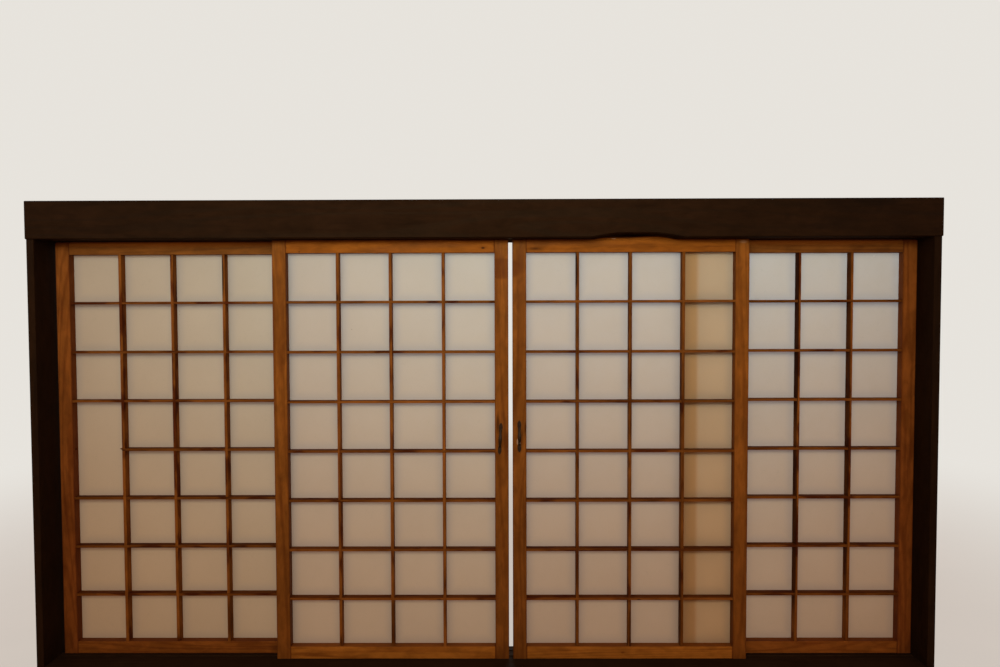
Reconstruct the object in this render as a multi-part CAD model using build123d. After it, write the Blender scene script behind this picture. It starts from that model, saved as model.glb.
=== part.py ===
import os
from math import asin, degrees
from build123d import *

os.makedirs("parts", exist_ok=True)

# Opening between the jambs, and between sill and head beam
clear_width = 3630.0
clear_height = 1757.0

# Head beam, sill and jambs
beam_height = 154.0
sill_thickness = 60.0
front_reveal = 60.0      # beam face to the face of the front panels
back_reveal = 27.0       # back of the rear panels to the back of the beam
frame_arris = 3.0
jamb_width = 30.0
jamb_setback = 6.0       # jamb face behind the beam face
jamb_tenon_length = 20.0
jamb_tenon_shoulder = 6.0
jamb_tenon_end = 14.0

# Long shallow wane on the lower front arris of the head beam
wane_centre = 623.5
wane_length = 354.0
wane_rise_face = 18.0    # at the face of the beam
wane_rise_panel = 12.0   # at the face of the front panels

# Tracks
track_pitch = 39.0
groove_width = 21.0
head_groove_depth = 15.0
sill_groove_depth = 3.0
tongue_side_gap = 0.5
rest_gap = 0.3           # panel foot to the floor of the sill groove
lift_gap = 4.0           # play above a panel, more than the sill groove is deep
foot_shoulder_gap = 1.5

# Panel frame
panel_width = 977.0
panel_thickness = 30.0
stile_width = 57.0
top_rail_height = 49.0   # shoulder to daylight edge
bottom_rail_height = 51.5
panel_arris = 1.0
horn_radius = 7.0        # worn top corner of one stile
rail_tenon_length = 38.0
rail_tenon_thickness = 10.0
rail_tenon_shoulder = 8.0

# Lattice
columns = 4
rows = 8
bar_width = 12.0
crossbar_height = 10.5
bar_setback = 1.5
bar_tenon_length = 8.0
bar_tenon_thickness = 10.0
bar_tenon_shoulder = 1.5
joint_gap = 0.1          # all round a tenon or a halved crossing
cut_past = 1.0           # how far a cut runs past the face that it opens

# Paper, glued to the back of the lattice in a shallow rebate
paper_thickness = 0.4
paper_rebate_depth = 1.5
paper_rebate_width = 10.0
paper_lap = 9.0

# Where the panels stand
left_end_gap = 13.5      # the rear left panel stands a little open
right_end_gap = 0.5
left_overlap = 48.5
meeting_gap = 17.0

# The middle crossbar of the rear left panel is broken
broken_row = rows // 2
splinter_length = 13.0

# Bow handles
pull_height_left = 932.0     # above the sill
pull_height_right = 942.0
pull_inset_left = 35.0       # from the meeting edge of the stile
pull_inset_right = 27.5
pull_tilt_left = 3.0
pull_length = 134.0
pull_lobe = 15.5
pull_waist = 10.0
pull_waist_at = 28.0         # from the middle of the handle
leaf_thickness = 2.2
bow_half_span = 38.0
bow_rise = 22.0
bow_thickness = 5.5
nail_spacing = 98.0
nail_radius = 1.5
nail_length = 20.0
nail_head_radius = 3.2
nail_head_height = 1.6
nail_gap = 0.05

# Levels and planes that follow from the sizes above
frame_depth = front_reveal + panel_thickness + track_pitch + back_reveal
front_track = front_reveal + panel_thickness / 2 - frame_depth / 2
rear_track = front_track + track_pitch
frame_length = clear_width + 2 * jamb_width
sill_top = sill_thickness
beam_bottom = sill_top + clear_height
foot = sill_top - sill_groove_depth + rest_gap
foot_shoulder = sill_top + foot_shoulder_gap
head_shoulder = beam_bottom - lift_gap
head = beam_bottom + head_groove_depth - lift_gap
daylight_bottom = foot_shoulder + bottom_rail_height
daylight_top = head_shoulder - top_rail_height
tongue_thickness = groove_width - 2 * tongue_side_gap
daylight_width = panel_width - 2 * stile_width
cell_width = (daylight_width - (columns - 1) * bar_width) / columns
cell_height = (daylight_top - daylight_bottom - (rows - 1) * crossbar_height) / rows
bar_front = bar_setback - panel_thickness / 2
bar_back = panel_thickness / 2 - paper_rebate_depth
bar_middle = (bar_front + bar_back) / 2


def block(x0, x1, y0, y1, z0, z1):
    """A squared piece of timber, or the room for one, between its six faces."""
    return Pos((x0 + x1) / 2, (y0 + y1) / 2, (z0 + z1) / 2) * Box(x1 - x0, y1 - y0, z1 - z0)


def bar_x(column):
    """Middle of a vertical bar, counted from the left as 1, 2, 3."""
    return stile_width + column * cell_width + (column - 0.5) * bar_width


def crossbar_z(row):
    """Middle of a crossbar, counted from the top as 1 to 7."""
    return daylight_top - row * cell_height - (row - 0.5) * crossbar_height


def crossbar_in_front(row, column, swapped):
    """The lattice is woven: two crossings to the front, the third to the back, then the reverse."""
    woven = (row % 2 == 1) == (column < columns - 1)
    return woven != swapped


# Frame

def long_edges(solid, axis, count):
    """The edges along an axis, the longest first."""
    return solid.edges().filter_by(axis).sort_by(SortBy.LENGTH, reverse=True)[:count]


def jamb_mortises(z0, z1):
    """Room for the stub tenons of both jambs."""
    half_depth = frame_depth / 2 - jamb_setback - jamb_tenon_end + joint_gap
    inner = clear_width / 2 + jamb_tenon_shoulder - joint_gap
    outer = frame_length / 2 - jamb_tenon_shoulder + joint_gap
    right = block(inner, outer, -half_depth, half_depth, z0, z1)
    return right + mirror(right, about=Plane.YZ)


def grooves(z0, z1):
    """The two tracks, from jamb to jamb."""
    half = groove_width / 2
    front = block(-clear_width / 2, clear_width / 2, front_track - half, front_track + half, z0, z1)
    return front + Pos(0, track_pitch, 0) * front


def wane():
    """A long shallow hollow, lower towards the panels, where the log's round edge was left."""
    radius = (wane_length ** 2 / 4 + wane_rise_face ** 2) / (2 * wane_rise_face)
    face = -frame_depth / 2
    slope = Vector(0, front_reveal, wane_rise_panel - wane_rise_face)
    crown = Vector(wane_centre, face, beam_bottom + wane_rise_face)
    plane = Plane(origin=crown - Vector(0, 0, radius), x_dir=(1, 0, 0), z_dir=slope)
    log = plane * Cylinder(radius, 4 * front_reveal)
    half = groove_width / 2
    reach = block(wane_centre - wane_length, wane_centre + wane_length,
                  face - cut_past, front_track + half,
                  beam_bottom - cut_past, beam_bottom + wane_rise_face + cut_past)
    return log & reach


def head_beam():
    beam = block(-frame_length / 2, frame_length / 2, -frame_depth / 2, frame_depth / 2,
                 beam_bottom, beam_bottom + beam_height)
    beam = chamfer(long_edges(beam, Axis.X, 4), frame_arris)
    beam -= grooves(beam_bottom - cut_past, beam_bottom + head_groove_depth)
    beam -= jamb_mortises(beam_bottom - cut_past, beam_bottom + jamb_tenon_length + joint_gap)
    return beam - wane()


def sill():
    board = block(-frame_length / 2, frame_length / 2, -frame_depth / 2, frame_depth / 2, 0, sill_top)
    board = chamfer(long_edges(board, Axis.X, 4).group_by(Axis.Z)[-1], frame_arris)
    board -= grooves(sill_top - sill_groove_depth, sill_top + cut_past)
    return board - jamb_mortises(sill_top - jamb_tenon_length - joint_gap, sill_top + cut_past)


def jamb(side):
    """side is -1 on the left and 1 on the right."""
    half_depth = frame_depth / 2 - jamb_setback
    post = block(clear_width / 2, frame_length / 2, -half_depth, half_depth, sill_top, beam_bottom)
    post = chamfer(long_edges(post, Axis.Z, 4), panel_arris)
    tenon_depth = half_depth - jamb_tenon_end
    post += block(clear_width / 2 + jamb_tenon_shoulder, frame_length / 2 - jamb_tenon_shoulder,
                  -tenon_depth, tenon_depth,
                  sill_top - jamb_tenon_length, beam_bottom + jamb_tenon_length)
    return post if side > 0 else mirror(post, about=Plane.YZ)


# Panel frame. A panel is made with its left edge at x = 0 and its middle plane at y = 0.

def rail_tenon(z0, z1, gap):
    """Both tenons of a rail as one bar through the panel, or with a gap the mortises for them."""
    half = rail_tenon_thickness / 2 + gap
    end = stile_width - rail_tenon_length - gap
    return block(end, panel_width - end, -half, half,
                 z0 + rail_tenon_shoulder - gap, z1 - rail_tenon_shoulder + gap)


def crossbar_tenon(row, gap):
    half = bar_tenon_thickness / 2 + gap
    rise = crossbar_height / 2 - bar_tenon_shoulder + gap
    end = stile_width - bar_tenon_length - gap
    return block(end, panel_width - end, bar_middle - half, bar_middle + half,
                 crossbar_z(row) - rise, crossbar_z(row) + rise)


def bar_tenon(column, gap):
    half = bar_tenon_thickness / 2 + gap
    side = bar_width / 2 - bar_tenon_shoulder + gap
    return block(bar_x(column) - side, bar_x(column) + side, bar_middle - half, bar_middle + half,
                 daylight_bottom - bar_tenon_length - gap, daylight_top + bar_tenon_length + gap)


def paper_rebate():
    lap = paper_rebate_width
    return block(stile_width - lap, panel_width - stile_width + lap,
                 panel_thickness / 2 - paper_rebate_depth, panel_thickness / 2 + cut_past,
                 daylight_bottom - lap, daylight_top + lap)


def tongued(x0, x1, z0, z1, with_foot, with_head, worn_side=0):
    """A timber with its shoulders outside the grooves and its tongues inside them."""
    half = panel_thickness / 2
    body = block(x0, x1, -half, half, z0, z1)
    body = chamfer(long_edges(body, Axis.Z if x1 - x0 < z1 - z0 else Axis.X, 4), panel_arris)
    if worn_side:
        corners = body.edges().filter_by(Axis.Y).group_by(Axis.Z)[-1].sort_by(Axis.X)
        body = fillet(corners[-1] if worn_side > 0 else corners[0], horn_radius)
    tongue = tongue_thickness / 2
    if with_foot:
        body += block(x0, x1, -tongue, tongue, foot, z0 + rail_tenon_shoulder)
    if with_head:
        body += block(x0, x1, -tongue, tongue, z1 - rail_tenon_shoulder, head)
    return body


def stile(side, worn=False, nail_holes=None):
    """side is -1 on the left of a panel and 1 on the right."""
    x0 = 0 if side < 0 else panel_width - stile_width
    piece = tongued(x0, x0 + stile_width, foot_shoulder, head_shoulder, True, True,
                    side if worn else 0)
    piece -= paper_rebate()
    piece -= rail_tenon(daylight_top, head_shoulder, joint_gap)
    piece -= rail_tenon(foot_shoulder, daylight_bottom, joint_gap)
    for row in range(1, rows):
        piece -= crossbar_tenon(row, joint_gap)
    if nail_holes is not None:
        piece -= nail_holes
    return piece


def top_rail():
    rail = tongued(stile_width, panel_width - stile_width, daylight_top, head_shoulder, False, True)
    rail += rail_tenon(daylight_top, head_shoulder, 0)
    rail -= paper_rebate()
    for column in range(1, columns):
        rail -= bar_tenon(column, joint_gap)
    return rail


def bottom_rail():
    rail = tongued(stile_width, panel_width - stile_width, foot_shoulder, daylight_bottom, True, False)
    rail += rail_tenon(foot_shoulder, daylight_bottom, 0)
    rail -= paper_rebate()
    for column in range(1, columns):
        rail -= bar_tenon(column, joint_gap)
    return rail


# Lattice

def crossing_notch(row, column, from_front):
    """Half the depth of a crossing, taken from the front or from the back."""
    half_x = bar_width / 2 + joint_gap
    half_z = crossbar_height / 2 + joint_gap
    y0 = bar_front - cut_past if from_front else bar_middle - joint_gap / 2
    y1 = bar_middle + joint_gap / 2 if from_front else bar_back + cut_past
    x = bar_x(column)
    z = crossbar_z(row)
    return block(x - half_x, x + half_x, y0, y1, z - half_z, z + half_z)


def vertical_bar(column, swapped):
    x = bar_x(column)
    bar = block(x - bar_width / 2, x + bar_width / 2, bar_front, bar_back, daylight_bottom, daylight_top)
    bar += bar_tenon(column, 0)
    for row in range(1, rows):
        bar -= crossing_notch(row, column, crossbar_in_front(row, column, swapped))
    return bar


def crossbar(row, swapped):
    z = crossbar_z(row)
    half = crossbar_height / 2
    bar = block(stile_width, panel_width - stile_width, bar_front, bar_back, z - half, z + half)
    bar += crossbar_tenon(row, 0)
    for column in range(1, columns):
        bar -= crossing_notch(row, column, not crossbar_in_front(row, column, swapped))
    return bar


def broken_crossbar(row, swapped):
    """Snapped beside the first vertical bar, with a splinter left on its front half."""
    z = crossbar_z(row)
    half = crossbar_height / 2
    break_x = bar_x(1) - bar_width / 2 - joint_gap
    bar = crossbar(row, swapped)
    bar -= block(-cut_past, break_x, bar_front - cut_past, bar_back + cut_past,
                 z - half - cut_past, z + half + cut_past)
    torn = [(break_x, z - half), (break_x - 0.3 * splinter_length, z - 0.5 * half),
            (break_x - 0.2 * splinter_length, z), (break_x - splinter_length, z + 0.75 * half),
            (break_x - 0.45 * splinter_length, z + half), (break_x, z + half)]
    outline = Plane.XZ * make_face(Polyline(*torn, close=True))
    splinter = extrude(outline, amount=(bar_middle - bar_front) * 0.7)
    return bar + Pos(0, bar_middle - joint_gap - splinter.bounding_box().max.Y, 0) * splinter


def paper():
    return block(stile_width - paper_lap, panel_width - stile_width + paper_lap,
                 bar_back, bar_back + paper_thickness,
                 daylight_bottom - paper_lap, daylight_top + paper_lap)


# Bow handles, made around the middle of the handle with the stile's face at y = 0

def pull_bow():
    """The lobed front outline crossed with the side view of leaves and bow."""
    tip = pull_length / 2
    half_lobe = pull_lobe / 2
    half_waist = pull_waist / 2
    leaf = tip - pull_waist_at
    taper = pull_waist_at + 0.75 * leaf
    widest = pull_waist_at + 0.5 * leaf
    side = Spline((0, tip), (half_lobe * 0.82, taper), (half_lobe, widest), (half_waist, pull_waist_at),
                  (half_lobe * 0.95, 0), (half_waist, -pull_waist_at), (half_lobe, -widest),
                  (half_lobe * 0.82, -taper), (0, -tip))
    front = Plane.XZ * make_face(Curve() + [side, mirror(side, about=Plane.YZ)])
    lobed = extrude(front, amount=bow_rise + cut_past, both=True)
    outer = ThreePointArc((-leaf_thickness, -bow_half_span), (-bow_rise, 0), (-leaf_thickness, bow_half_span))
    inner_span = bow_half_span - bow_thickness
    inner = ThreePointArc((0, -inner_span), (bow_thickness - bow_rise, 0), (0, inner_span))
    foot_top = Polyline((-leaf_thickness, bow_half_span), (-leaf_thickness, tip), (0, tip), (0, inner_span))
    foot_low = Polyline((-leaf_thickness, -bow_half_span), (-leaf_thickness, -tip), (0, -tip), (0, -inner_span))
    profile = Plane.YZ * make_face(Curve() + [outer, foot_top, inner, foot_low])
    bow = lobed & extrude(profile, amount=pull_lobe, both=True)
    for z in (-nail_spacing / 2, nail_spacing / 2):
        bow -= nail_hole(z)
    return bow


def nail_hole(z):
    depth = leaf_thickness + nail_length
    hole = Cylinder(nail_radius + nail_gap, depth + cut_past)
    return Pos(0, depth / 2 - leaf_thickness, z) * Rot(90, 0, 0) * hole


def nail(z):
    """A forged nail with a domed head, its head on the leaf."""
    dome_radius = (nail_head_radius ** 2 + nail_head_height ** 2) / (2 * nail_head_height)
    dome_angle = degrees(asin(nail_head_radius / dome_radius))
    dome = CenterArc((0, dome_radius - nail_head_height), dome_radius, 270, dome_angle)
    shank = Polyline(dome @ 1, (nail_radius, 0), (nail_radius, nail_length * 0.8), (0, nail_length), dome @ 0)
    turned = revolve(make_face(Curve() + [dome, shank]), axis=Axis.Y)
    return Pos(0, -leaf_thickness, z) * turned


def pull_place(side):
    """Where a handle sits on its panel: side 1 is the right stile of the left panel."""
    face = -panel_thickness / 2
    if side > 0:
        return Pos(panel_width - pull_inset_left, face, sill_top + pull_height_left) * Rot(0, pull_tilt_left, 0)
    return Pos(pull_inset_right, face, sill_top + pull_height_right)


def nails(side):
    return [pull_place(side) * nail(z) for z in (-nail_spacing / 2, nail_spacing / 2)]


def nail_holes(side):
    return [pull_place(side) * nail_hole(z) for z in (-nail_spacing / 2, nail_spacing / 2)]


# Every node, in its place

def place_panel(name, x, track, swapped, broken=None, pull_side=0, worn=False):
    """The nodes of one panel, named after it."""
    at = Pos(x, track, 0)
    holes = nail_holes(pull_side) if pull_side else None
    nodes = {
        "left_stile": stile(-1, nail_holes=holes if pull_side < 0 else None),
        "right_stile": stile(1, worn=worn, nail_holes=holes if pull_side > 0 else None),
        "top_rail": top_rail(),
        "bottom_rail": bottom_rail(),
        "vertical_bars": Compound([vertical_bar(column, swapped) for column in range(1, columns)]),
        "paper": paper(),
    }
    for row in range(1, rows):
        make = broken_crossbar if row == broken else crossbar
        nodes["crossbar_" + str(row)] = make(row, swapped)
    if pull_side:
        nodes["pull"] = pull_place(pull_side) * pull_bow()
        nodes["pull_nails"] = Compound(nails(pull_side))
    return {name + "_" + key: at * shape for key, shape in nodes.items()}


rear_left_x = -clear_width / 2 + left_end_gap
front_left_x = rear_left_x + panel_width - left_overlap
front_right_x = front_left_x + panel_width + meeting_gap
rear_right_x = clear_width / 2 - right_end_gap - panel_width

parts = {"head_beam": head_beam(), "sill": sill(), "left_jamb": jamb(-1), "right_jamb": jamb(1)}
parts.update(place_panel("rear_left", rear_left_x, rear_track, True, broken=broken_row))
parts.update(place_panel("front_left", front_left_x, front_track, False, pull_side=1))
parts.update(place_panel("front_right", front_right_x, front_track, False, pull_side=-1, worn=True))
parts.update(place_panel("rear_right", rear_right_x, rear_track, True))

for node, shape in parts.items():
    export_step(shape, "parts/" + node + ".step")
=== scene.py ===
"""Looks of the shoji sliding screen: procedural materials, paper sheets, camera and soft light."""

import math

import bmesh
import bpy
from mathutils import Matrix, Vector, noise


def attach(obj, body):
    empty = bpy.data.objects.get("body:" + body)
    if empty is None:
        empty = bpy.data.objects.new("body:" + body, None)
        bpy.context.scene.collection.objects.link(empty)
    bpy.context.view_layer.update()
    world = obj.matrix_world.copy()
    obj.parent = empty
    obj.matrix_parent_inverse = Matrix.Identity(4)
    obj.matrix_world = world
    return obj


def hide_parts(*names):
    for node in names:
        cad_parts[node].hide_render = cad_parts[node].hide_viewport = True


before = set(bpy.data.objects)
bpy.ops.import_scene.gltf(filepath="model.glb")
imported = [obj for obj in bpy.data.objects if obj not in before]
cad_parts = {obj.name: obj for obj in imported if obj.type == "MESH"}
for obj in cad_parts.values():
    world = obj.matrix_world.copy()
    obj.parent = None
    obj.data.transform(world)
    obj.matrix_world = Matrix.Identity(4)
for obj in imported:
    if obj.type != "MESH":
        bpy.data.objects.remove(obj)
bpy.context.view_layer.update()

X_AXIS, Y_AXIS, Z_AXIS = range(3)

# Camera, fitted to the photograph's beam, stiles, rails and bars: angles in radians, lens in mm
camera_place = Vector((0.07964, -2.33521, 1.49262))
camera_yaw = -0.00447
camera_pitch = -0.02708
camera_roll = -0.00284
camera_lens = 20.16
camera_sensor = 36.0
camera_near = 0.05
camera_far = 120.0

# Background, and the glow of the world that lights the object
pale = (0.80, 0.77, 0.72)
room_glow = (1.0, 0.56, 0.36)
room_strength = 0.44

# Floor: to the camera it is paler than its material, and the background from the fade's far end on
floor_reach = 30.0
floor_drop = 0.0005
floor_tones = ((0.62, 0.54, 0.43), (0.66, 0.58, 0.47))
floor_noise = (3.0, 4.0, 0.6)
floor_span = (0.3, 0.7)
floor_roughness = 0.8
floor_specular = 0.15
floor_fade = (1.6, 6.0)
floor_lift = 0.6

# Lamps: place, target, width and height, spread in degrees, power in watts, colour
lamps = {
    "key": ((-0.45, -2.4, 2.5), (-0.25, 0.0, 1.9), (3.6, 0.7), 80.0, 7.4, (1.0, 0.96, 0.86)),
    "fill": ((-0.45, -2.4, 2.3), (-0.25, 0.0, 1.4), (3.6, 0.7), 130.0, 11.0, (1.0, 0.97, 0.76)),
    "back": ((1.2, 1.9, 3.0), (0.7, 0.0, 1.9), (3.4, 1.2), 80.0, 23.5, (0.44, 0.73, 1.0)),
}

# Panels and lattice, repeated from the part's source, in metres: y of the faces of both tracks'
# panels, x of the panels' left edges, sections, cells, heights, and how far back the lattice ends
front_face = -0.018
rear_face = 0.021
panel_lefts = {
    "rear_left": -1.8015,
    "front_left": -0.873,
    "front_right": 0.121,
    "rear_right": 0.8375,
}
panel_faces = {
    "rear_left": rear_face,
    "front_left": front_face,
    "front_right": front_face,
    "rear_right": rear_face,
}
panel_width = 0.977
stile_width = 0.057
bar_width = 0.012
crossbar_height = 0.0105
columns = 4
rows = 8
cell_width = 0.20675
cell_height = 0.1971875
daylight_top = 1.764
daylight_foot = daylight_top - rows * cell_height - (rows - 1) * crossbar_height
bar_back = 0.0285

# The crossbar whose piece in the first column has broken out: its panel and the row above it
broken_panel = "rear_left"
broken_row = 4
broken_height = daylight_top - broken_row * cell_height - (broken_row - 0.5) * crossbar_height

# Paper, glued to the back of the lattice: size, gluing edge, clearance, slack and mesh width; the
# slack is part calm, part rippled by a noise with its own seed for each sheet
paper_width = 0.881
paper_height = 1.669
paper_overlap = 0.009
paper_clear = 0.00005
paper_slack = 0.0008
paper_step = 0.0125
paper_calm = 0.55
paper_ripple = 0.45
ripple_scale = (9.0, 6.0)
ripple_seed_step = 5.0

# Modifiers of the solid pieces
weld_distance = 0.00001
arris_width = 0.0005
arris_segments = 2
arris_angle = math.radians(35)

# Heights between which the painted shade at a foot, darker towards the bottom, turns into the tone
# above
foot_shade_heights = (0.2, 1.7)


class Tree:
    """The node tree of a material or of the world."""

    def __init__(self, owner):
        owner.use_nodes = True
        self.owner = owner
        self.tree = owner.node_tree
        self.tree.nodes.clear()

    def node(self, kind, sockets=None, **settings):
        made = self.tree.nodes.new(kind)
        for key, value in settings.items():
            setattr(made, key, value)
        for key, value in (sockets or {}).items():
            self.feed(made.inputs[key], value)
        return made

    def feed(self, socket, value):
        if isinstance(value, bpy.types.NodeSocket):
            self.tree.links.new(value, socket)
        elif isinstance(value, tuple) and socket.type == "RGBA":
            socket.default_value = (*value, 1.0)
        else:
            socket.default_value = value

    def math(self, how, a, b=0.0, clamp=False):
        made = self.node("ShaderNodeMath", {0: a, 1: b}, operation=how, use_clamp=clamp)
        return made.outputs[0]

    def blend(self, share, a, b):
        """Two shaders, with this share of the second one."""
        return self.node("ShaderNodeMixShader", {0: share, 1: a, 2: b}).outputs[0]


class Paint(Tree):
    """One procedural material, painted by the places in the row frame."""

    def __init__(self, name):
        super().__init__(bpy.data.materials.new(name))
        coordinates = self.node("ShaderNodeTexCoord")
        self.place = coordinates.outputs["Object"]
        self.normal = coordinates.outputs["Normal"]

    def vector(self, how, a, b=(0.0, 0.0, 0.0)):
        made = self.node("ShaderNodeVectorMath", {0: a, 1: b}, operation=how)
        return made.outputs["Value" if how == "LENGTH" else "Vector"]

    def noise(self, place, scale, detail=2.0, roughness=0.5, distortion=0.0):
        sockets = {
            "Vector": place,
            "Scale": scale,
            "Detail": detail,
            "Roughness": roughness,
            "Distortion": distortion,
        }
        return self.node("ShaderNodeTexNoise", sockets).outputs["Fac"]

    def span(self, value, low, high, to_low=0.0, to_high=1.0):
        """The value's way from low to high, eased, as a way from to_low to to_high."""
        sockets = {
            "Value": value,
            "From Min": low,
            "From Max": high,
            "To Min": to_low,
            "To Max": to_high,
        }
        made = self.node("ShaderNodeMapRange", sockets, interpolation_type="SMOOTHSTEP")
        return made.outputs["Result"]

    def fall(self, value, low, high):
        """1 below low, falling to 0 at high."""
        return self.span(value, low, high, 1.0, 0.0)

    def share(self, value, strength):
        return self.math("MULTIPLY", value, strength)

    def mix(self, share, a, b, how="MIX"):
        sockets = {0: share, 6: a, 7: b}
        made = self.node("ShaderNodeMix", sockets, data_type="RGBA", blend_type=how)
        return made.outputs[2]

    def tint(self, share, colour, by):
        """The colour multiplied by another one, where the share says so."""
        return self.mix(share, colour, self.mix(1.0, colour, by, "MULTIPLY"))

    def axis(self, index):
        return self.node("ShaderNodeSeparateXYZ", {0: self.place}).outputs[index]

    def facing(self, index):
        """How squarely the surface faces along an axis, from 0 to 1."""
        along = self.node("ShaderNodeSeparateXYZ", {0: self.normal}).outputs[index]
        return self.math("ABSOLUTE", along)

    def spot(self, centre, reach, soft):
        """1 inside an ellipsoid in the row frame, falling to 0 at its edge."""
        off = self.vector("SUBTRACT", self.place, centre)
        scaled = self.vector("MULTIPLY", off, tuple(1.0 / r for r in reach))
        return self.fall(self.vector("LENGTH", scaled), 1.0 - soft, 1.0)

    def lines(self, places, full, reach):
        """1 on the upright planes at these x, falling to 0 at their reach."""
        along = self.axis(X_AXIS)
        nearest = None
        for x in places:
            off = self.math("ABSOLUTE", self.math("SUBTRACT", along, x))
            nearest = off if nearest is None else self.math("MINIMUM", nearest, off)
        return self.fall(nearest, full, reach)

    def bump(self, height, strength, depth):
        sockets = {"Height": height, "Strength": strength, "Distance": depth}
        return self.node("ShaderNodeBump", sockets).outputs["Normal"]

    def surface(self, sockets):
        return self.node("ShaderNodeBsdfPrincipled", sockets).outputs[0]

    def finish(self, shader):
        self.node("ShaderNodeOutputMaterial", {"Surface": shader})
        return self.owner


# Grain: how much its coordinates shrink along the timber, so that a pattern runs long there
slow_stretch = 0.06
fast_stretch = 0.022
figure_stretch = 0.4
patch_stretch = 0.25

# Noise of each pattern of the grain: scale, detail, roughness, distortion
growth_noise = (7.5, 1.6, 0.45, 0.35)
fibre_noise = (520.0, 2.0, 0.6)
streak_noise = (38.0, 3.0, 0.62)
cloud_noise = (3.2, 3.0, 0.55)
figure_noise = (34.0, 3.0, 0.6, 0.6)
patch_noise = (26.0, 2.0)

# What part of each pattern shows, and how strongly; clouds and figure go from dark to light
late_wood = (-0.5, 1.0)
late_wood_power = 2.2
late_wood_share = 0.38
fibre_span = (0.5, 0.85, 0.0, 0.4)
streak_span = (0.52, 0.74)
patch_span = (0.52, 0.66)
cloud_span = (0.28, 0.72, 0.86, 1.12)
figure_span = (0.25, 0.75, 0.8, 1.16)

# A piece's own place in the grain is its chance times this
piece_shift = (13.7, 7.9, 5.3)

# How squarely a side or a top faces before it gets painted shade; dirt in joints and darkening
# along arrises:
# where it is full, where it ends, and its share
facing_span = (0.3, 0.9)
joint_dirt = (0.0008, 0.0045)
joint_share = 0.75
edge_darkening = (0.0, 0.006)
edge_share = 0.45

# Relief of the grain, and the warm gloss of an oiled surface
fibre_relief = 0.6
late_relief = -0.5
relief_span = (-0.3, 0.5)
timber_bump = (0.35, 0.0004)
oil_tint = (1.0, 0.72, 0.42)

# Habits: spread of tone between pieces; strength of streaks, of patches; painted shade on sides, on
# tops
plank = (0.16, 0.45, 0.2, 0.2, 0.65)
stick = (0.45, 0.7, 0.8, 0.2, 0.65)

# Tones of timber: light, dark and deepest
honey = ((0.265, 0.0946, 0.0137), (0.125, 0.035, 0.0052), (0.070, 0.0132, 0.0033))
sticks = ((0.210, 0.076, 0.014), (0.098, 0.0265, 0.0045), (0.050, 0.0070, 0.0024))
stained = ((0.0205, 0.0094, 0.0042), (0.0105, 0.0047, 0.0021), (0.0068, 0.0030, 0.0015))
black_stain = ((0.038, 0.0195, 0.0095), (0.020, 0.0100, 0.0052), (0.0135, 0.0066, 0.0036))

# Gloss: roughness in the hollows and on the heights, specular level
satin = (0.42, 0.62, 0.1)
waxed = (0.52, 0.72, 0.05)
dull = (0.5, 0.72, 0.05)

# Growth rings per unit of the growth noise
plank_rings = 15.0
stick_rings = 14.0
beam_rings = 9.0

# Tints of stiles and rails, own tone and painted light they catch; painted shade on the stiles'
# feet
stile_tone_and_light = {"front": (1.0, 1.0, 1.0), "rear": (1.08, 1.01, 1.26)}
stile_foot_shade = {"front": (0.79, 0.78, 0.92), "rear": (0.92, 0.86, 0.98)}
rail_tone_and_light = {
    ("front", "top"): (1.13, 1.04, 0.75),
    ("front", "bottom"): (1.42, 1.52, 1.55),
    ("rear", "top"): (0.94, 0.99, 1.25),
    ("rear", "bottom"): (1.10, 1.05, 1.30),
}

# Colours of the marks
soot_and_shadow = (0.024, 0.0055, 0.0018)
knot = (0.022, 0.006, 0.002)
burn = (0.030, 0.0055, 0.002)
resin = (0.095, 0.020, 0.0035)
bare_wood_and_glint = (0.50, 0.34, 0.20)
painted_light_under_beam = (0.52, 0.19, 0.030)

# Marks, in the row frame: centre, reach, softness, strength, colour
stile_marks = (
    ((0.074, front_face, 1.698), (0.110, 0.02, 0.050), 0.3, 0.55, resin),
    ((0.060, front_face, 1.055), (0.012, 0.02, 0.060), 0.9, 0.75, burn),
    ((0.094, front_face, 0.965), (0.020, 0.02, 0.090), 0.9, 0.45, resin),
    ((0.174, front_face, 1.035), (0.008, 0.02, 0.045), 0.9, 0.7, burn),
    ((0.152, front_face, 1.745), (0.030, 0.02, 0.060), 0.9, 0.35, resin),
    # painted highlight: a pale glint on the stile beside the right-hand pull
    ((0.1415, front_face, 0.979), (0.0055, 0.01, 0.015), 0.4, 0.95, bare_wood_and_glint),
    ((1.072, front_face, 1.806), (0.022, 0.02, 0.010), 0.8, 0.45, bare_wood_and_glint),
    ((-0.846, front_face, 1.36), (0.022, 0.02, 0.16), 0.9, 0.35, resin),
    ((-1.774, rear_face, 0.62), (0.030, 0.02, 0.20), 0.9, 0.35, resin),
)
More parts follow.
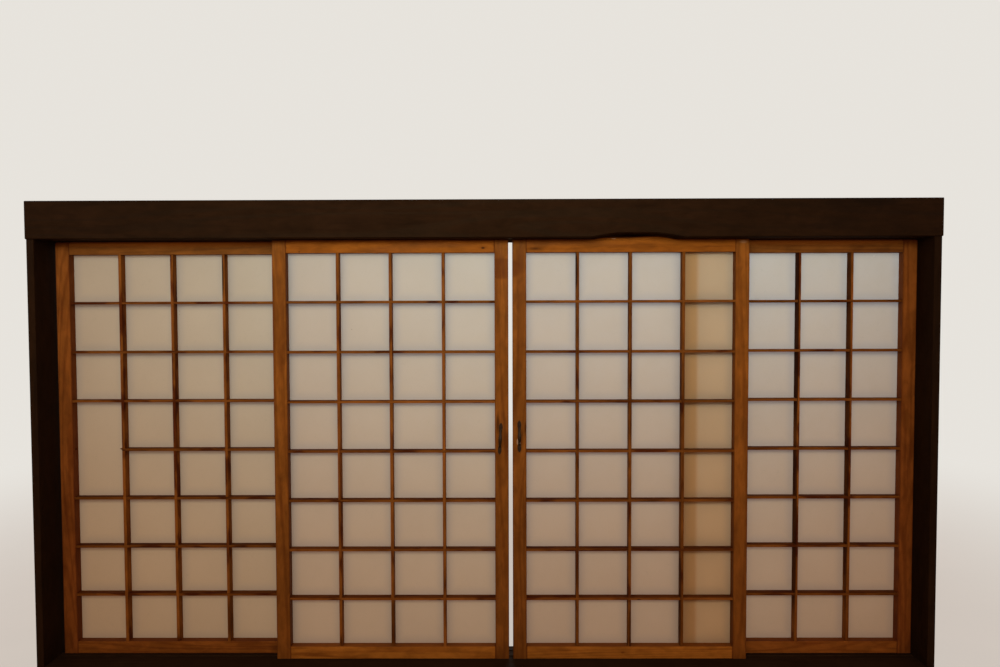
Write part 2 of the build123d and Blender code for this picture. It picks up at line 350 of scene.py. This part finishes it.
rail_marks = (
    ((0.0, front_face, 1.783), (0.0095, 0.02, 0.0052), 0.6, 0.95, knot),
    ((0.0, front_face, 1.785), (0.030, 0.02, 0.012), 1.0, 0.4, resin),
    ((-0.759, front_face, 1.769), (0.007, 0.02, 0.004), 0.8, 0.8, knot),
    ((0.215, front_face, 1.780), (0.040, 0.02, 0.010), 1.0, 0.7, burn),
    # painted shadow: black on the top of the rail inside the wane of the head beam
    ((0.545, front_face, 1.830), (0.170, 0.03, 0.012), 0.5, 0.85, soot_and_shadow),
    # painted highlight: a pale glint on the rail's top inside the wane
    ((0.539, front_face, 1.8200), (0.012, 0.02, 0.0026), 0.5, 0.7, bare_wood_and_glint),
    # painted light: the tops of the rear top rails lightened against the head beam's shadow
    ((-1.313, rear_face, 1.815), (0.75, 0.02, 0.028), 0.9, 0.75, painted_light_under_beam),
    ((1.326, rear_face, 1.815), (0.75, 0.02, 0.028), 0.9, 0.75, painted_light_under_beam),
    ((0.581, front_face, 0.088), (0.013, 0.02, 0.007), 0.9, 0.6, resin),
    ((-0.700, front_face, 0.075), (0.090, 0.02, 0.010), 0.9, 0.35, resin),
    ((0.300, front_face, 0.100), (0.120, 0.02, 0.009), 0.9, 0.30, resin),
    ((-1.313, rear_face, 0.104), (0.020, 0.02, 0.006), 0.8, 0.5, honey[0]),
    ((-1.085, rear_face, 0.101), (0.030, 0.02, 0.007), 0.8, 0.5, honey[0]),
    ((-0.890, rear_face, 0.082), (0.060, 0.02, 0.030), 0.9, 0.5, burn),
)
upright_marks = (
    ((-1.0995, 0.035, 1.675), (0.007, 0.04, 0.115), 0.3, 0.9, soot_and_shadow),
    ((0.3855, 0.0, 1.690), (0.006, 0.04, 0.090), 0.3, 0.9, soot_and_shadow),
    ((-0.6045, -0.01, 1.580), (0.010, 0.03, 0.030), 0.8, 0.8, burn),
    ((-0.3879, -0.01, 1.571), (0.010, 0.03, 0.016), 0.8, 0.8, burn),
    ((1.3205, 0.035, 1.42), (0.0065, 0.04, 0.50), 0.35, 0.9, soot_and_shadow),
    ((1.3205, 0.035, 0.60), (0.0065, 0.04, 0.45), 0.35, 0.8, soot_and_shadow),
    ((1.5390, 0.035, 1.10), (0.0060, 0.04, 0.90), 0.35, 0.7, soot_and_shadow),
    ((-0.3845, -0.01, 0.21), (0.0200, 0.04, 0.125), 0.4, 0.62, soot_and_shadow),
    ((-0.6030, -0.01, 0.135), (0.0080, 0.03, 0.040), 0.8, 0.8, burn),
    ((-1.0940, 0.03, 0.21), (0.0100, 0.04, 0.120), 0.6, 0.6, burn),
    ((0.6125, -0.01, 0.19), (0.0100, 0.04, 0.110), 0.4, 0.6, soot_and_shadow),
    ((0.8225, -0.01, 0.31), (0.0040, 0.04, 0.230), 0.4, 0.6, soot_and_shadow),
)
crossing_marks = (
    ((-0.209, -0.01, 1.560), (0.040, 0.03, 0.010), 0.6, 0.85, burn),
    ((0.040, -0.01, 1.560), (0.026, 0.03, 0.010), 0.8, 0.8, burn),
    ((0.190, -0.01, 1.560), (0.050, 0.03, 0.008), 0.8, 0.6, burn),
    ((0.020, -0.01, 0.936), (0.060, 0.03, 0.008), 0.7, 0.6, burn),
    ((-0.189, -0.01, 0.3110), (0.018, 0.03, 0.0080), 0.8, 0.75, burn),
    ((0.036, -0.01, 0.3110), (0.024, 0.03, 0.0080), 0.8, 0.75, burn),
    ((-0.816, -0.01, 0.3110), (0.016, 0.03, 0.0080), 0.8, 0.7, burn),
    ((0.649, -0.01, 0.3125), (0.011, 0.03, 0.0045), 0.6, 0.85, soot_and_shadow),
)


def stretched(along, share):
    """Scale of the grain's coordinates: the share along its axis, 1 across it."""
    return tuple(share if i == along else 1.0 for i in range(3))


def grain(paint, along, tones, rings, habit):
    """Colour, fibres and late wood of clean sawn timber, with painted shade on its sides and tops.
    """
    piece_spread, streaks, patches, sides, tops = habit
    light, dark, deep = tones
    chance = paint.node("ShaderNodeObjectInfo").outputs["Random"]
    shift = paint.node("ShaderNodeVectorMath", {0: piece_shift, "Scale": chance}, operation="SCALE")
    wood = paint.vector("ADD", paint.place, shift.outputs["Vector"])
    slow = paint.vector("MULTIPLY", wood, stretched(along, slow_stretch))
    fast = paint.vector("MULTIPLY", wood, stretched(along, fast_stretch))
    figured = paint.vector("MULTIPLY", wood, stretched(along, figure_stretch))
    patched = paint.vector("MULTIPLY", wood, stretched(along, patch_stretch))

    growth = paint.noise(slow, *growth_noise)
    wave = paint.math("SINE", paint.math("MULTIPLY", growth, rings * 2 * math.pi))
    late = paint.math("POWER", paint.span(wave, *late_wood), late_wood_power)
    fibre = paint.noise(fast, *fibre_noise)
    streak = paint.span(paint.noise(slow, *streak_noise), *streak_span)
    patch = paint.span(paint.noise(patched, *patch_noise), *patch_span)
    cloud = paint.span(paint.noise(wood, *cloud_noise), *cloud_span)
    figure = paint.span(paint.noise(figured, *figure_noise), *figure_span)

    colour = paint.mix(paint.share(late, late_wood_share), light, dark)
    colour = paint.mix(paint.share(streak, streaks), colour, deep)
    colour = paint.mix(paint.span(fibre, *fibre_span), colour, dark)
    colour = paint.mix(paint.share(patch, patches), colour, deep)
    own = paint.span(chance, 0.0, 1.0, 1.0 - piece_spread / 2, 1.0 + piece_spread / 2)
    shade = paint.math("MULTIPLY", paint.math("MULTIPLY", cloud, figure), own)
    colour = paint.mix(1.0, colour, shade, "MULTIPLY")
    # painted shade: faces turned sideways, up or down are darkened towards the deepest tone
    inward = paint.fall(paint.facing(Y_AXIS), *facing_span)
    level = paint.span(paint.facing(Z_AXIS), *facing_span, sides, tops)
    colour = paint.mix(paint.math("MULTIPLY", inward, level), colour, deep)
    return colour, fibre, late


def timber(name, along, tones, rings, gloss, marks=(), habit=plank, joints=(), edges=(), foot=None):
    """Sawn timber with its marks, dirt in its joints, darker arrises, and painted shade at its
    foot.
    """
    paint = Paint(name)
    deep = tones[2]
    colour, fibre, late = grain(paint, along, tones, rings, habit)
    for centre, reach, soft, strength, stain in marks:
        mark = paint.share(paint.spot(centre, reach, soft), strength)
        colour = paint.mix(mark, colour, stain)
    if joints:
        colour = paint.mix(paint.share(paint.lines(joints, *joint_dirt), joint_share), colour, deep)
    # darker along the arrises of the stiles
    if edges:
        colour = paint.mix(paint.share(paint.lines(edges, *edge_darkening), edge_share), colour, deep)
    # painted shade: the stiles darker towards the bottom
    if foot:
        colour = paint.tint(paint.fall(paint.axis(Z_AXIS), *foot_shade_heights), colour, foot)

    relief = paint.math("ADD", paint.share(fibre, fibre_relief), paint.share(late, late_relief))
    smooth, rough, specular = gloss
    sockets = {
        "Base Color": colour,
        "Roughness": paint.span(relief, *relief_span, smooth, rough),
        "Specular IOR Level": specular,
        "Specular Tint": oil_tint,
        "Normal": paint.bump(relief, *timber_bump),
    }
    return paint.finish(paint.surface(sockets))


def places(face, offsets):
    """The x of these offsets from the left edges of the panels in one track."""
    lefts = [left for panel, left in panel_lefts.items() if panel_faces[panel] == face]
    return [left + x for left in lefts for x in offsets]


def tinted(tones, tint):
    return tuple(tuple(c * t for c, t in zip(tone, tint)) for tone in tones)


stile_arrises = (0.0, stile_width, panel_width - stile_width, panel_width)
rail_ends = (stile_width, panel_width - stile_width)
panel_timber = {}
for side, face in (("front", front_face), ("rear", rear_face)):
    panel_timber[side, "stile"] = timber(
        side + "_stile_timber",
        Z_AXIS,
        tinted(honey, stile_tone_and_light[side]),
        plank_rings,
        satin,
        stile_marks,
        edges=places(face, stile_arrises),
        foot=stile_foot_shade[side],
    )
    for place in ("top", "bottom"):
        panel_timber[side, place] = timber(
            side + "_" + place + "_rail_timber",
            X_AXIS,
            tinted(honey, rail_tone_and_light[side, place]),
            plank_rings,
            satin,
            rail_marks,
            joints=places(face, rail_ends),
        )
uprights = timber(
    "bar_timber_upright", Z_AXIS, sticks, stick_rings, waxed, upright_marks, stick
)
crossings = timber(
    "bar_timber_level", X_AXIS, sticks, stick_rings, waxed, crossing_marks, stick
)
beams = timber("dark_timber_level", X_AXIS, stained, beam_rings, dull)
sills = timber("sill_timber_level", X_AXIS, black_stain, beam_rings, dull)
posts = timber("dark_timber_upright", Z_AXIS, stained, beam_rings, dull)

# Iron: noise of its bloom and of its worn heights; tones; a painted glint on the right-hand handle
bloom_noise = (260.0, 4.0, 0.65)
bloom_span = (0.35, 0.65)
iron_tones = ((0.018, 0.0095, 0.0045), (0.046, 0.0225, 0.0085))
height_noise = (900.0, 3.0, 0.6)
height_span = (0.45, 0.75)
height_share = 0.35
worn_iron = (0.075, 0.045, 0.024)
glint_place = (0.1512, -0.04, 0.976)
glint_reach = (0.0028, 0.03, 0.0045)
glint_soft = 0.6
glint_share = 0.8
iron_glint = (0.36, 0.32, 0.27)
iron_metallic = 0.4
iron_specular = 0.2
iron_roughness = (0.3, 0.7, 0.42, 0.7)
iron_bump = (0.5, 0.0005)


def iron():
    """Old dark iron with a brown bloom and worn high places."""
    paint = Paint("old_iron")
    bloom = paint.noise(paint.place, *bloom_noise)
    worn = paint.span(paint.noise(paint.place, *height_noise), *height_span)
    glint = paint.spot(glint_place, glint_reach, glint_soft)
    colour = paint.mix(paint.span(bloom, *bloom_span), *iron_tones)
    colour = paint.mix(paint.share(worn, height_share), colour, worn_iron)
    # painted highlight: a pale glint on the right-hand handle
    colour = paint.mix(paint.share(glint, glint_share), colour, iron_glint)
    sockets = {
        "Base Color": colour,
        "Metallic": iron_metallic,
        "Roughness": paint.span(bloom, *iron_roughness),
        "Specular IOR Level": iron_specular,
        "Normal": paint.bump(bloom, *iron_bump),
    }
    return paint.finish(paint.surface(sockets))


# Washi: noise of its cloudy formation and of its broad unevenness
formation_noise = (26.0, 4.0, 0.6)
formation_span = (0.3, 0.7)
broad_noise = (4.0, 2.0, 0.5)
broad_span = (0.3, 0.7, 0.96, 1.03)

# Threads in the washi: turn and seed of each of their directions; noise, width and where they show
thread_turns = ((0.45, 3.1), (1.5, 7.7), (2.6, 12.3))
thread_stretch = (1.0, 1.0, 0.16)
thread_noise = (120.0, 1.0)
thread_middle = 0.5
thread_width = 0.012
thread_places = (45.0, 1.0)
thread_span = (0.5, 0.62)

# Colour of the sheet, and of the light that comes through it; the threads' share and colour in each
body_tones = ((0.625, 0.565, 0.47), (0.675, 0.615, 0.52))
body_threads = (0.35, (0.75, 0.69, 0.57))
glow_tones = ((0.95, 0.785, 0.575), (0.87, 0.705, 0.495))
glow_threads = (0.4, (0.56, 0.46, 0.32))
glow_share = 0.42

# Tint of each sheet, partly its own tone, partly painted light; and its foot's painted shade,
# warmer
sheet_tone_and_light = {
    "rear_left": (0.905, 0.985, 0.985),
    "front_left": (0.925, 0.995, 1.04),
    "front_right": (0.900, 0.950, 1.00),
    "rear_right": (0.925, 1.015, 1.10),
}
sheet_foot_shade = (1.0, 0.91, 0.82)

# Painted shade in every cell: a greyer rim along the sides and the foot of each cell, and a painted
# shadow band below each crossbar, which is fainter in the top row
shade_rim_span = (0.0, 0.045)
shade_rim_tint = (0.89, 0.92, 0.99)
bar_shadow_span = (0.006, 0.030)
bar_shadow_tint = (0.74, 0.75, 0.84)
bar_shadow_heights = (1.50, 1.72, 1.0, 0.25)

# Where the crossbar's piece is missing there is neither: the soft edges of that place
bridge_edge = 0.001
bridge_span = (0.06, 0.10)

# Painted shade on the front right sheet before the rear right stile, painted golden glow before its
# paper
over_stile = 0.838
over_stile_soft = 0.002
stile_behind_shade_tint = (1.31, 1.00, 0.575)
stile_behind_foot_shade = (0.92, 0.92, 0.98)
over_paper = 0.8945
over_paper_before = 0.010
over_paper_after = 0.012
paper_behind_glow_tint = (1.38, 1.25, 1.02)

# Specks on the sheets: x, z, radius, colour
speck_dark = (0.10, 0.055, 0.025)
speck_pale = (0.86, 0.84, 0.80)
specks = {
    "rear_left": (
        (-1.2985, 1.5275, 0.0026, speck_dark),
        (-1.2975, 1.5120, 0.0022, speck_dark),
    ),
    "front_left": ((-0.5529, 1.4479, 0.0026, speck_dark),),
    "front_right": (),
    "rear_right": (
        (1.6527, 1.7515, 0.0030, speck_pale),
        (1.6440, 1.7440, 0.0022, speck_pale),
    ),
}
speck_depth = 0.02
speck_soft = 0.6
speck_share = 0.8

# Relief and gloss of the sheets
thread_relief = 0.6
paper_bump = (0.25, 0.0003)
paper_roughness = 0.85
paper_specular = 0.12


def threads_of(paint):
    """1 on fine threads that cross each other in three directions, with gaps."""
    threads = None
    for turn, seed in thread_turns:
        sockets = {
            "Vector": paint.place,
            "Rotation": (0.0, turn, 0.0),
            "Location": (seed, 0.0, seed),
        }
        turned = paint.node("ShaderNodeMapping", sockets).outputs[0]
        drawn = paint.vector("MULTIPLY", turned, thread_stretch)
        off = paint.math("SUBTRACT", paint.noise(drawn, *thread_noise), thread_middle)
        line = paint.fall(paint.math("ABSOLUTE", off), 0.0, thread_width)
        there = paint.span(paint.noise(turned, *thread_places), *thread_span)
        thread = paint.math("MULTIPLY", line, there)
        threads = thread if threads is None else paint.math("MAXIMUM", threads, thread)
    return threads


def cell_shade_and_bar_shadow(paint, panel):
    """Painted rim shade and shadow band below the crossbar of every cell, none at the broken piece.
    """
    first = panel_lefts[panel] + stile_width
    across = paint.math("SUBTRACT", paint.axis(X_AXIS), first)
    across = paint.math("FLOORED_MODULO", across, cell_width + bar_width)
    beside = paint.math("MINIMUM", across, paint.math("SUBTRACT", cell_width, across))
    below = paint.math("SUBTRACT", daylight_top, paint.axis(Z_AXIS))
    below = paint.math("FLOORED_MODULO", below, cell_height + crossbar_height)
    above = paint.math("SUBTRACT", cell_height, below)
    # painted shadow band below each crossbar
    bar_shadow = paint.fall(below, *bar_shadow_span)
    bar_shadow = paint.math("MULTIPLY", bar_shadow, paint.span(paint.axis(Z_AXIS), *bar_shadow_heights))
    if panel == broken_panel:
        edge = first + cell_width
        inside = paint.fall(paint.axis(X_AXIS), edge - bridge_edge, edge)
        off = paint.math("ABSOLUTE", paint.math("SUBTRACT", paint.axis(Z_AXIS), broken_height))
        bridged = paint.math("MULTIPLY", inside, paint.fall(off, *bridge_span))
        above = paint.math("ADD", above, bridged)
        bar_shadow = paint.math("SUBTRACT", bar_shadow, bridged, clamp=True)
    # painted shade: greyer towards the bars around each cell
    return paint.fall(paint.math("MINIMUM", beside, above), *shade_rim_span), bar_shadow


def washi(panel):
    """Handmade paper: cloudy formation, fine crossing threads, painted shade towards the bars."""
    paint = Paint(panel + "_washi")
    cloud = paint.noise(paint.place, *formation_noise)
    formation = paint.span(cloud, *formation_span)
    broad = paint.span(paint.noise(paint.place, *broad_noise), *broad_span)
    threads = threads_of(paint)
    shade_rim, bar_shadow = cell_shade_and_bar_shadow(paint, panel)
    low = paint.fall(paint.axis(Z_AXIS), *foot_shade_heights)

    body = paint.mix(formation, *body_tones)
    body = paint.mix(paint.share(threads, body_threads[0]), body, body_threads[1])
    body = paint.mix(1.0, body, broad, "MULTIPLY")
    glow = paint.mix(formation, *glow_tones)
    glow = paint.mix(paint.share(threads, glow_threads[0]), glow, glow_threads[1])
    # each sheet's tone and painted light, painted shade at its foot, its cell rims and below
    # crossbars
    tone_light_and_shade = (
        (1.0, sheet_tone_and_light[panel]),
        (low, sheet_foot_shade),
        (shade_rim, shade_rim_tint),
        (bar_shadow, bar_shadow_tint),
    )
    for share, by in tone_light_and_shade:
        body = paint.tint(share, body, by)
        glow = paint.tint(share, glow, by)
    # painted shade of the rear right stile and painted glow of the paper behind this sheet
    if panel == "front_right":
        along = paint.axis(X_AXIS)
        past = paint.span(along, over_paper - over_paper_before, over_paper + over_paper_after)
        strip = paint.span(along, over_stile - over_stile_soft, over_stile + over_stile_soft)
        strip = paint.math("SUBTRACT", strip, past, clamp=True)
        body = paint.tint(strip, body, stile_behind_shade_tint)
        body = paint.tint(paint.math("MULTIPLY", strip, low), body, stile_behind_foot_shade)
        body = paint.tint(past, body, paper_behind_glow_tint)
    for x, z, radius, colour in specks[panel]:
        centre = (x, panel_faces[panel] + bar_back, z)
        mark = paint.spot(centre, (radius, speck_depth, radius), speck_soft)
        body = paint.mix(paint.share(mark, speck_share), body, colour)

    relief = paint.math("ADD", cloud, paint.share(threads, thread_relief))
    raised = paint.bump(relief, *paper_bump)
    sockets = {
        "Base Color": body,
        "Roughness": paper_roughness,
        "Specular IOR Level": paper_specular,
        "Normal": raised,
    }
    through = paint.node("ShaderNodeBsdfTranslucent", {"Color": glow, "Normal": raised})
    return paint.finish(paint.blend(glow_share, paint.surface(sockets), through.outputs[0]))


old_iron = iron()
washi_paper = {panel: washi(panel) for panel in panel_lefts}


def dress(node):
    """The material of a CAD node, by its name."""
    name = node.name
    if name == "head_beam":
        return beams
    if name == "sill":
        return sills
    if name.endswith("_jamb"):
        return posts
    if "_pull" in name:
        return old_iron
    if name.endswith("_paper"):
        return washi_paper[name.removesuffix("_paper")]
    if name.endswith("_stile"):
        return panel_timber[name.split("_")[0], "stile"]
    if name.endswith("_rail"):
        return panel_timber[name.split("_")[0], name.split("_")[-2]]
    if "_crossbar_" in name:
        return crossings
    return uprights


for cad_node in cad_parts.values():
    material = dress(cad_node)
    cad_node.data.materials.clear()
    cad_node.data.materials.append(material)
    if material in washi_paper.values():
        continue
    weld = cad_node.modifiers.new("weld", "WELD")
    weld.merge_threshold = weld_distance
    if material is old_iron:
        continue
    eased = cad_node.modifiers.new("eased arris", "BEVEL")
    eased.width = arris_width
    eased.segments = arris_segments
    eased.limit_method = "ANGLE"
    eased.angle_limit = arris_angle


def into_cell(offset, size, bar, count):
    """How far into its cell a place lies, from 0 at one bar to 1 at the next; 0 on a bar."""
    for index in range(count):
        start = index * (size + bar)
        if start < offset < start + size:
            return (offset - start) / size
    return 0.0


def paper_sheet(panel, seed):
    """One sheet glued to the lattice, slightly slack inside each cell."""
    left = panel_lefts[panel] + stile_width - paper_overlap
    foot = daylight_foot - paper_overlap
    glue = panel_faces[panel] + bar_back + paper_clear
    across = round(paper_width / paper_step)
    upward = round(paper_height / paper_step)
    mesh = bmesh.new()
    grid = []
    for j in range(upward + 1):
        line = []
        for i in range(across + 1):
            x = left + paper_width * i / across
            z = foot + paper_height * j / upward
            along = x - left - paper_overlap
            u = into_cell(along, cell_width, bar_width, columns)
            v = into_cell(z - foot - paper_overlap, cell_height, crossbar_height, rows)
            hold = math.sin(math.pi * u) * math.sin(math.pi * v)
            beside_break = panel == broken_panel and along < cell_width
            if beside_break and abs(z - broken_height) < cell_height / 2:
                hold = math.sin(math.pi * u)
            spot = Vector((x * ripple_scale[0] + seed, seed, z * ripple_scale[1]))
            ripple = paper_calm + paper_ripple * noise.noise(spot)
            line.append(mesh.verts.new((x, glue + paper_slack * hold * ripple, z)))
        grid.append(line)
    for j in range(upward):
        for i in range(across):
            corners = (grid[j][i], grid[j][i + 1], grid[j + 1][i + 1], grid[j + 1][i])
            mesh.faces.new(corners)
    data = bpy.data.meshes.new(panel + "_paper_sheet")
    mesh.to_mesh(data)
    mesh.free()
    data.polygons.foreach_set("use_smooth", [True] * len(data.polygons))
    data.materials.append(washi_paper[panel])
    sheet = bpy.data.objects.new(panel + "_paper_sheet", data)
    bpy.context.scene.collection.objects.link(sheet)
    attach(sheet, panel + "_panel")
    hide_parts(panel + "_paper")


for number, panel in enumerate(panel_lefts):
    paper_sheet(panel, ripple_seed_step * number)


def make_camera():
    """The photograph's camera, turned by its yaw, pitch and roll."""
    forward = Vector(
        (
            math.cos(camera_pitch) * math.sin(camera_yaw),
            math.cos(camera_pitch) * math.cos(camera_yaw),
            math.sin(camera_pitch),
        )
    )
    right = Vector((math.cos(camera_yaw), -math.sin(camera_yaw), 0.0))
    up = right.cross(forward)
    across = math.cos(camera_roll) * right + math.sin(camera_roll) * up
    upward = math.cos(camera_roll) * up - math.sin(camera_roll) * right
    turn = Matrix((across, upward, -forward)).transposed().to_4x4()
    data = bpy.data.cameras.new("camera")
    data.sensor_fit = "HORIZONTAL"
    data.sensor_width = camera_sensor
    data.lens = camera_lens
    data.clip_start = camera_near
    data.clip_end = camera_far
    camera = bpy.data.objects.new("camera", data)
    camera.matrix_world = Matrix.Translation(camera_place) @ turn
    bpy.context.scene.collection.objects.link(camera)
    bpy.context.scene.camera = camera


def make_lamp(name, place, target, size, spread, power, colour):
    """A soft rectangular lamp that the camera doesn't see."""
    data = bpy.data.lights.new(name, "AREA")
    data.shape = "RECTANGLE"
    data.size, data.size_y = size
    data.spread = math.radians(spread)
    data.energy = power
    data.color = colour
    lamp = bpy.data.objects.new(name, data)
    lamp.location = place
    towards = Vector(target) - Vector(place)
    lamp.rotation_euler = towards.to_track_quat("-Z", "Y").to_euler()
    lamp.visible_camera = False
    bpy.context.scene.collection.objects.link(lamp)


def make_world():
    """Pale to the camera, in gloss and through gaps; the room's warm glow to everything else."""
    world = bpy.data.worlds.new("studio")
    bpy.context.scene.world = world
    sky = Tree(world)
    ray = sky.node("ShaderNodeLightPath").outputs
    clear = sky.math("SUBTRACT", ray["Is Transmission Ray"], ray["Is Diffuse Ray"], clamp=True)
    seen = sky.math("MAXIMUM", ray["Is Camera Ray"], ray["Is Glossy Ray"])
    seen = sky.math("MAXIMUM", seen, clear)
    glow = sky.node("ShaderNodeBackground", {"Color": room_glow, "Strength": room_strength})
    plain = sky.node("ShaderNodeBackground", {"Color": pale, "Strength": 1.0})
    both = sky.blend(seen, glow.outputs[0], plain.outputs[0])
    sky.node("ShaderNodeOutputWorld", {"Surface": both})


def make_floor():
    """A wide pale floor that keeps the object's shadow near it."""
    data = bpy.data.meshes.new("floor")
    signs = ((-1, -1), (1, -1), (1, 1), (-1, 1))
    corners = [(floor_reach * x, floor_reach * y, 0.0) for x, y in signs]
    data.from_pydata(corners, [], [(0, 1, 2, 3)])
    floor = bpy.data.objects.new("floor", data)
    floor.location.z = -floor_drop
    bpy.context.scene.collection.objects.link(floor)
    paint = Paint("pale_floor")
    grit = paint.noise(paint.place, *floor_noise)
    sockets = {
        "Base Color": paint.mix(paint.span(grit, *floor_span), *floor_tones),
        "Roughness": floor_roughness,
        "Specular IOR Level": floor_specular,
    }
    near = paint.surface(sockets)
    far = paint.node("ShaderNodeEmission", {"Color": pale, "Strength": 1.0}).outputs[0]
    away = paint.span(paint.vector("LENGTH", paint.place), *floor_fade, floor_lift, 1.0)
    seen = paint.node("ShaderNodeLightPath").outputs["Is Camera Ray"]
    both = paint.blend(paint.math("MULTIPLY", away, seen), near, far)
    data.materials.append(paint.finish(both))


make_camera()
make_world()
make_floor()
for name, settings in lamps.items():
    make_lamp(name, *settings)
bpy.context.scene.view_settings.view_transform = "Standard"
